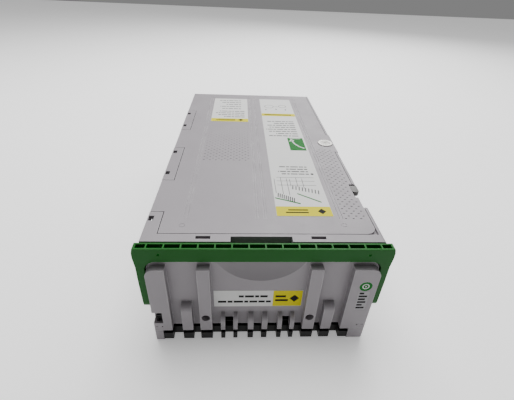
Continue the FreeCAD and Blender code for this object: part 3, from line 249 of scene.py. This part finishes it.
class Shapes:
    """Collects small closed solids, given in millimetres with depths behind the front, as one piece."""

    def __init__(self):
        self.mesh = bmesh.new()

    def prism(self, outline, low, high, along="z"):
        """A closed prism over an outline of (x, d) along Z, or of (x, z) along the depth."""
        rings = []
        for level in (low, high):
            ring = []
            for u, v in outline:
                at = (u, v, level) if along == "z" else (u, level, v)
                ring.append(self.mesh.verts.new((at[0] * MM, FRONT + at[1] * MM, at[2] * MM)))
            rings.append(ring)
        count = len(outline)
        faces = [rings[0][::-1], rings[1]]
        for i in range(count):
            j = (i + 1) % count
            faces.append([rings[0][i], rings[0][j], rings[1][j], rings[1][i]])
        for face in faces:
            self.mesh.faces.new(face)

    def bar(self, x0, x1, d0, d1, low, high):
        self.prism([(x0, d0), (x1, d0), (x1, d1), (x0, d1)], low, high)

    def upright_bar(self, x0, x1, z0, z1, d0, d1):
        self.prism([(x0, z0), (x1, z0), (x1, z1), (x0, z1)], d0, d1, "d")

    def plate(self, x0, x1, v0, v1, corner, low, high, along="z"):
        """A thin plate with rounded corners."""
        outline = []
        for quarter, (x, v) in enumerate(((x1 - corner, v1 - corner), (x0 + corner, v1 - corner),
                                          (x0 + corner, v0 + corner), (x1 - corner, v0 + corner))):
            for i in range(CORNER_STEPS + 1):
                turn = math.pi / 2 * (quarter + i / CORNER_STEPS)
                outline.append((x + corner * math.cos(turn), v + corner * math.sin(turn)))
        self.prism(outline, low, high, along)

    def disc(self, x, v, radius, low, high, along="z", sides=32):
        turns = [2 * math.pi * i / sides for i in range(sides)]
        self.prism([(x + radius * math.cos(turn), v + radius * math.sin(turn)) for turn in turns],
                   low, high, along)

    def ring(self, x, v, outer, inner, low, high, along="z", sides=40):
        """A flat ring with a square section."""
        loops = []
        for radius, level in ((outer, low), (outer, high), (inner, high), (inner, low)):
            loop = []
            for i in range(sides):
                turn = 2 * math.pi * i / sides
                u, w = x + radius * math.cos(turn), v + radius * math.sin(turn)
                at = (u, w, level) if along == "z" else (u, level, w)
                loop.append(self.mesh.verts.new((at[0] * MM, FRONT + at[1] * MM, at[2] * MM)))
            loops.append(loop)
        for k in range(4):
            a, b = loops[k], loops[(k + 1) % 4]
            for i in range(sides):
                j = (i + 1) % sides
                self.mesh.faces.new([a[i], a[j], b[j], b[i]])

    def gem(self, x, d, half_x, half_d, base, rise):
        """A low four-sided bump with a small flat top and a closed underside."""
        low = [(x - half_x, d), (x, d - half_d), (x + half_x, d), (x, d + half_d)]
        top = [(x + (u - x) * 0.35, d + (v - d) * 0.35) for u, v in low]
        rings = []
        for ring, z in ((low, base), (top, base + rise)):
            rings.append([self.mesh.verts.new((u * MM, FRONT + v * MM, z * MM)) for u, v in ring])
        self.mesh.faces.new(rings[0][::-1])
        self.mesh.faces.new(rings[1])
        for i in range(4):
            j = (i + 1) % 4
            self.mesh.faces.new([rings[0][i], rings[0][j], rings[1][j], rings[1][i]])

    def finish(self, name, body, material):
        bmesh.ops.recalc_face_normals(self.mesh, faces=self.mesh.faces)
        mesh = bpy.data.meshes.new(name)
        self.mesh.to_mesh(mesh)
        self.mesh.free()
        piece = bpy.data.objects.new(name, mesh)
        bpy.context.collection.objects.link(piece)
        mesh.materials.append(materials[material])
        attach(piece, body)
        return piece


# ---- Label prints -----------------------------------------------------------------------------

LID_TOP = 124.5
LABEL_TOP = 124.7
INK = 0.04               # thickness of a printed layer
BAND_CORNER = 0.8
FRONT_LABEL_FACE = 7.8
COLUMN_X = 98.7          # middle of the right column's marks
COLUMN_MARK_Z = 82.0
COLUMN_SEAT = 0.1        # depth of the column's shallow fields


def text_rows(shapes, x0, x1, first, pitch, rows, height, low, high, seed):
    """Rows of plain bars of uneven length that stand for lines of small print."""
    for row in range(rows):
        d = first + row * pitch
        x = x1
        index = 0
        short = (x1 - x0) * (0.0, 0.12, 0.05, 0.3, 0.08)[(row + seed) % 5]
        while x > x0 + short:
            width = (7.5, 4.2, 9.8, 5.6, 3.1, 8.4)[(index * 5 + row * 3 + seed) % 6]
            start = max(x - width, x0 + short)
            if x - start > 1.2:
                shapes.bar(start, x, d, d + height, low, high)
            x = start - 1.3
            index += 1


def build_long_label():
    low, high = LABEL_TOP, LABEL_TOP + INK
    yellow = Shapes()
    yellow.plate(14.2, 72.8, 56.2, 73.4, BAND_CORNER, low, high)
    yellow.plate(14.2, 72.8, 349.5, 362.0, BAND_CORNER, low, high)
    yellow.finish("long_label_bands", "lid", "label_yellow")

    black = Shapes()
    # a plain bar and a plain diamond on the front band
    black.bar(24.0, 48.0, 61.5, 63.5, low + INK, high + INK)
    black.bar(27.0, 48.0, 66.0, 68.0, low + INK, high + INK)
    black.prism([(58.0, 64.7), (62.5, 59.7), (67.0, 64.7), (62.5, 69.7)], low + INK, high + INK)
    black.bar(19.0, 66.0, 354.0, 357.4, low + INK, high + INK)
    # one round bullet beside the rows of small print
    black.disc(66.0, 144.4, 1.9, low, high)
    black.finish("long_label_marks", "lid", "label_black")

    grey = Shapes()
    text_rows(grey, 22.0, 62.0, 143.0, 6.2, 4, 2.3, low, high, 1)
    text_rows(grey, 18.0, 66.0, 262.0, 8.6, 8, 2.7, low, high, 2)
    # the picture: two open trays seen at a slant, with a row of slats beside each
    for shift in (0.0, 30.0):
        left, right = 17.0 + shift * 0.62, 36.0 + shift
        for k in range(9):
            x = left + 1.0 + k * (right - left - 2) / 8
            d = 92.0 + shift * 0.55 - k * 1.25
            grey.prism([(x, d), (x + 1.1, d - 0.7), (x + 2.2, d + 7.6), (x + 1.1, d + 8.3)], low, high)
        for x, d0, d1 in ((left, 100 + shift * 0.5, 132), (left + 8, 98 + shift * 0.5, 135),
                          (left + 15, 95 + shift * 0.5, 133)):
            grey.bar(x, x + 0.6, d0, d1, low, high)
    for d in (117.0, 126.5, 135.0):
        grey.bar(20.0, 66.0, d, d + 0.7, low, high)
    # the line drawing near the rear end
    grey.ring(30.0, 400.0, 8.5, 7.7, low, high)
    grey.ring(55.0, 402.0, 7.0, 6.2, low, high)
    grey.bar(38.6, 47.9, 399.5, 400.4, low, high)
    grey.bar(22.0, 24.2, 380.0, 384.0, low, high)
    grey.bar(41.0, 43.2, 383.0, 388.0, low, high)
    grey.bar(58.0, 60.2, 381.0, 386.0, low, high)
    grey.finish("long_label_print", "lid", "label_grey")

    green = Shapes()
    green.bar(47.5, 70.5, 212.0, 255.5, low, high)
    for shift in (0.0, 26.0):
        green.prism([(15.0 + shift, 91.0 + shift * 0.35), (15.0 + shift, 88.8 + shift * 0.35),
                     (42.0 + shift * 0.9, 77.6 + shift * 0.12), (42.0 + shift * 0.9, 80.0 + shift * 0.12)],
                    low, high)
    green.finish("long_label_green", "lid", "label_green")

    white = Shapes()
    # a plain curved arrow on the green field
    path = [(53.0, 246.0), (56.5, 233.5), (62.0, 224.5), (68.5, 219.5)]
    for (xa, da), (xb, db) in zip(path, path[1:]):
        length = math.hypot(xb - xa, db - da)
        ux, ud = (db - da) / length * 1.1, -(xb - xa) / length * 1.1
        stroke = [(xa - ux, da - ud), (xb - ux, db - ud), (xb + ux, db + ud), (xa + ux, da + ud)]
        white.prism(stroke, low + INK, high + INK)
    white.prism([(49.2, 242.6), (52.6, 251.6), (57.4, 244.8)], low + INK, high + INK)
    white.bar(51.0, 67.0, 252.2, 253.8, low + INK, high + INK)
    white.finish("long_label_arrow", "lid", "label_white")


def build_rear_label():
    low, high = LABEL_TOP, LABEL_TOP + INK
    yellow = Shapes()
    yellow.plate(-71.8, -10.2, 319.2, 333.0, BAND_CORNER, low, high)
    yellow.finish("rear_label_band", "lid", "label_yellow")
    grey = Shapes()
    text_rows(grey, -66.0, -16.0, 340.0, 9.2, 4, 2.8, low, high, 3)
    text_rows(grey, -62.0, -22.0, 382.0, 11.5, 5, 2.8, low, high, 1)
    grey.finish("rear_label_print", "lid", "label_grey")
    black = Shapes()
    black.bar(-64.0, -32.0, 324.0, 326.4, low + INK, high + INK)
    black.bar(-60.0, -32.0, 328.4, 330.0, low + INK, high + INK)
    black.prism([(-27.0, 327.0), (-22.5, 322.2), (-18.0, 327.0), (-22.5, 331.8)], low + INK, high + INK)
    black.finish("rear_label_marks", "lid", "label_black")


def build_front_label():
    face = FRONT_LABEL_FACE
    yellow = Shapes()
    yellow.plate(10.6, 40.2, 45.2, 68.1, BAND_CORNER, face - INK, face, "d")
    yellow.finish("front_label_field", "root", "label_yellow")
    grey = Shapes()
    for z, x0, widths in ((50.6, -45.0, (8.5, 5.0, 9.5, 4.0, 8.0, 6.5, 5.0)),
                          (58.4, -24.0, (5.0, 9.0, 4.0, 7.5))):
        x = x0
        for width in widths:
            grey.upright_bar(x, x + width, z, z + 3.0, face - INK, face)
            x += width + 1.2
    grey.finish("front_label_print", "root", "label_black")
    black = Shapes()
    black.upright_bar(13.0, 26.0, 52.6, 55.4, face - 2 * INK, face - INK)
    black.upright_bar(13.0, 23.5, 58.4, 61.2, face - 2 * INK, face - INK)
    black.prism([(27.6, 56.8), (32.4, 51.6), (37.2, 56.8), (32.4, 62.0)], face - 2 * INK, face - INK, "d")
    black.finish("front_label_marks", "root", "label_black")


def build_column_marks():
    """A plain ring and dot on the green disc, and a backing with plain bars below it."""
    seat = COLUMN_SEAT
    white = Shapes()
    white.ring(COLUMN_X, COLUMN_MARK_Z, 3.5, 2.5, seat - INK, seat, "d")
    white.disc(COLUMN_X, COLUMN_MARK_Z, 0.9, seat - INK, seat, "d")
    white.finish("column_mark_ring", "root", "label_white")
    light = Shapes()
    light.plate(93.3, 104.1, 48.1, 74.5, BAND_CORNER, seat - INK, seat, "d")
    light.finish("column_backing", "root", "backing_grey")
    black = Shapes()
    left, bar_height = 94.5, 2.4
    for z, width in ((50.0, 8.4), (54.2, 5.6), (58.4, 8.4), (62.6, 7.0), (66.8, 8.4), (71.0, 4.6)):
        black.upright_bar(left, left + width, z, z + bar_height, seat - 2 * INK, seat - INK)
    black.finish("column_bars", "root", "label_black")


# ---- Lock face and latch spring ---------------------------------------------------------------

LOCK_AT = (102.2, 238.5)
LOCK_FACE = 125.40


def build_lock_face():
    """A keyway and a fine groove round it, drawn as thin black films of painted shade, and a raised ring,
    on the lock's face.
    """
    x, d = LOCK_AT
    # the black slot, centre hole and groove ring are painted shade of recesses that are not cut
    keyway = Shapes()
    keyway.bar(x - 3.8, x + 3.8, d - 0.95, d + 0.95, LOCK_FACE, LOCK_FACE + 0.04)
    keyway.disc(x, d, 1.7, LOCK_FACE, LOCK_FACE + 0.045, sides=20)
    keyway.ring(x, d, 6.45, 5.9, LOCK_FACE, LOCK_FACE + 0.04)
    keyway.finish("lock_keyway_shade", "lock", "label_black")
    shoulder = Shapes()
    shoulder.ring(x, d, 5.2, 4.4, LOCK_FACE, LOCK_FACE + 0.15)
    shoulder.finish("lock_face_ring", "lock", "lock_metal")


def build_spring():
    """The latch's return spring as a real coil, closed at both ends."""
    x, z, start, end = 110.0, 114.8, 200.2, 208.5
    wire, radius, turns, per_turn, sides = 0.3, 1.7, 7, 24, 8
    mesh = bmesh.new()
    steps = turns * per_turn
    rings = []
    for i in range(steps + 1):
        part = i / steps
        turn = 2 * math.pi * turns * part
        along = start + wire + (end - start - 2 * wire) * part
        ring = []
        for k in range(sides):
            a = 2 * math.pi * k / sides
            r = radius + wire * math.cos(a)
            at = (x + r * math.cos(turn), along + wire * math.sin(a), z + r * math.sin(turn))
            ring.append(mesh.verts.new((at[0] * MM, FRONT + at[1] * MM, at[2] * MM)))
        rings.append(ring)
    mesh.faces.new(rings[0])
    mesh.faces.new(rings[-1][::-1])
    for a, b in zip(rings, rings[1:]):
        for k in range(sides):
            m = (k + 1) % sides
            mesh.faces.new([a[k], a[m], b[m], b[k]])
    bmesh.ops.recalc_face_normals(mesh, faces=mesh.faces)
    data = bpy.data.meshes.new("latch_coil")
    mesh.to_mesh(data)
    mesh.free()
    for face in data.polygons:
        face.use_smooth = True
    coil = bpy.data.objects.new("latch_coil", data)
    bpy.context.collection.objects.link(coil)
    data.materials.append(materials["steel"])
    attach(coil, "root")
    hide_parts("latch_spring")


# ---- Lid surface ------------------------------------------------------------------------------

def build_lid_marks():
    """The two fields of grip dots, dark grey as painted shade of dimples, and two ejector marks near the
    lid's front corners.
    """
    top, sunk = LID_TOP, 0.01
    dots = Shapes()
    row_step, side_step = 4.4, 3.9
    for row in range(28):
        d = 180.0 + row * row_step
        # the left field fades out towards the rear
        fade = 1.0 if d < 206 else max(0.18, 1.0 - (d - 206) / 90)
        for column in range(8):
            x = -71.0 + (2 * column + row % 2) * side_step
            if x < -11.0:
                dots.gem(x, d, 0.5 + 1.1 * fade, 0.25 + 0.75 * fade, top - sunk, 0.06 + 0.2 * fade)
    for row in range(38):
        d = 53.0 + row * row_step
        for column in range(4):
            x = 85.2 + (2 * column + row % 2) * side_step
            if x < 107.5 and not (x > 103.5 and 88 < d < 124):
                dots.gem(x, d, 1.6, 1.05, top - sunk, 0.24)
    dots.finish("lid_grip_dots", "lid", "dot_grey")

    rings = Shapes()
    rings.ring(-79.7, 40.4, 2.9, 2.4, top - sunk, top + 0.14)
    rings.ring(80.4, 42.2, 2.9, 2.4, top - sunk, top + 0.14)
    rings.finish("lid_ejector_rings", "lid", "case_grey")


# ---- Floor, light and camera ------------------------------------------------------------------

def build_stage():
    mesh = bpy.data.meshes.new("floor")
    size = 4.0
    corners = [(-size, -size, 0), (size, -size, 0), (size, size, 0), (-size, size, 0)]
    mesh.from_pydata(corners, [], [(0, 1, 2, 3)])
    floor = bpy.data.objects.new("floor", mesh)
    bpy.context.collection.objects.link(floor)
    material, tree, shader, place = start_material("floor_paper", 0.9, 0.0, 0.1)
    tone = mixed(tree, noise(tree, place, 3.0), (0.93, 0.93, 0.93), (0.97, 0.97, 0.97))
    tree.links.new(tone, shader.inputs["Base Color"])
    tree.links.new(tone, shader.inputs["Emission Color"])
    shader.inputs["Emission Strength"].default_value = 0.35
    floor.data.materials.append(material)
    world = bpy.data.worlds.new("studio")
    world.use_nodes = True
    world.node_tree.nodes["Background"].inputs["Color"].default_value = (1.0, 1.0, 1.0, 1)
    world.node_tree.nodes["Background"].inputs["Strength"].default_value = 0.22
    bpy.context.scene.world = world


def area_light(name, at, towards, size, power):
    light = bpy.data.lights.new(name, "AREA")
    light.size = size
    light.energy = power
    lamp = bpy.data.objects.new(name, light)
    bpy.context.collection.objects.link(lamp)
    lamp.location = at
    lamp.rotation_mode = "QUATERNION"
    lamp.rotation_quaternion = (Vector(towards) - Vector(at)).to_track_quat("-Z", "Y")
    return lamp


def build_lights():
    area_light("top_softbox", (-0.1, 0.55, 1.7), (0, 0.05, 0.1), 1.5, 50.0)
    area_light("rear_softbox", (0.7, 1.7, 1.3), (0, 0.1, 0.1), 1.2, 26.0)


def build_camera():
    data = bpy.data.cameras.new("camera")
    data.lens = LENS
    data.sensor_width = SENSOR
    data.clip_start = 0.01
    camera = bpy.data.objects.new("camera", data)
    bpy.context.collection.objects.link(camera)
    turn = (Matrix.Rotation(-CAMERA_DOWN, 3, "X") @ Matrix.Rotation(-CAMERA_ROLL, 3, "Y")
            @ Matrix.Rotation(-CAMERA_SWING, 3, "Z") @ Matrix.Rotation(math.pi / 2, 3, "X"))
    camera.matrix_world = Matrix.Translation(CAMERA_AT) @ turn.to_4x4()
    bpy.context.scene.camera = camera


build_long_label()
build_rear_label()
build_front_label()
build_column_marks()
build_lock_face()
build_spring()
build_lid_marks()
build_stage()
build_lights()
build_camera()
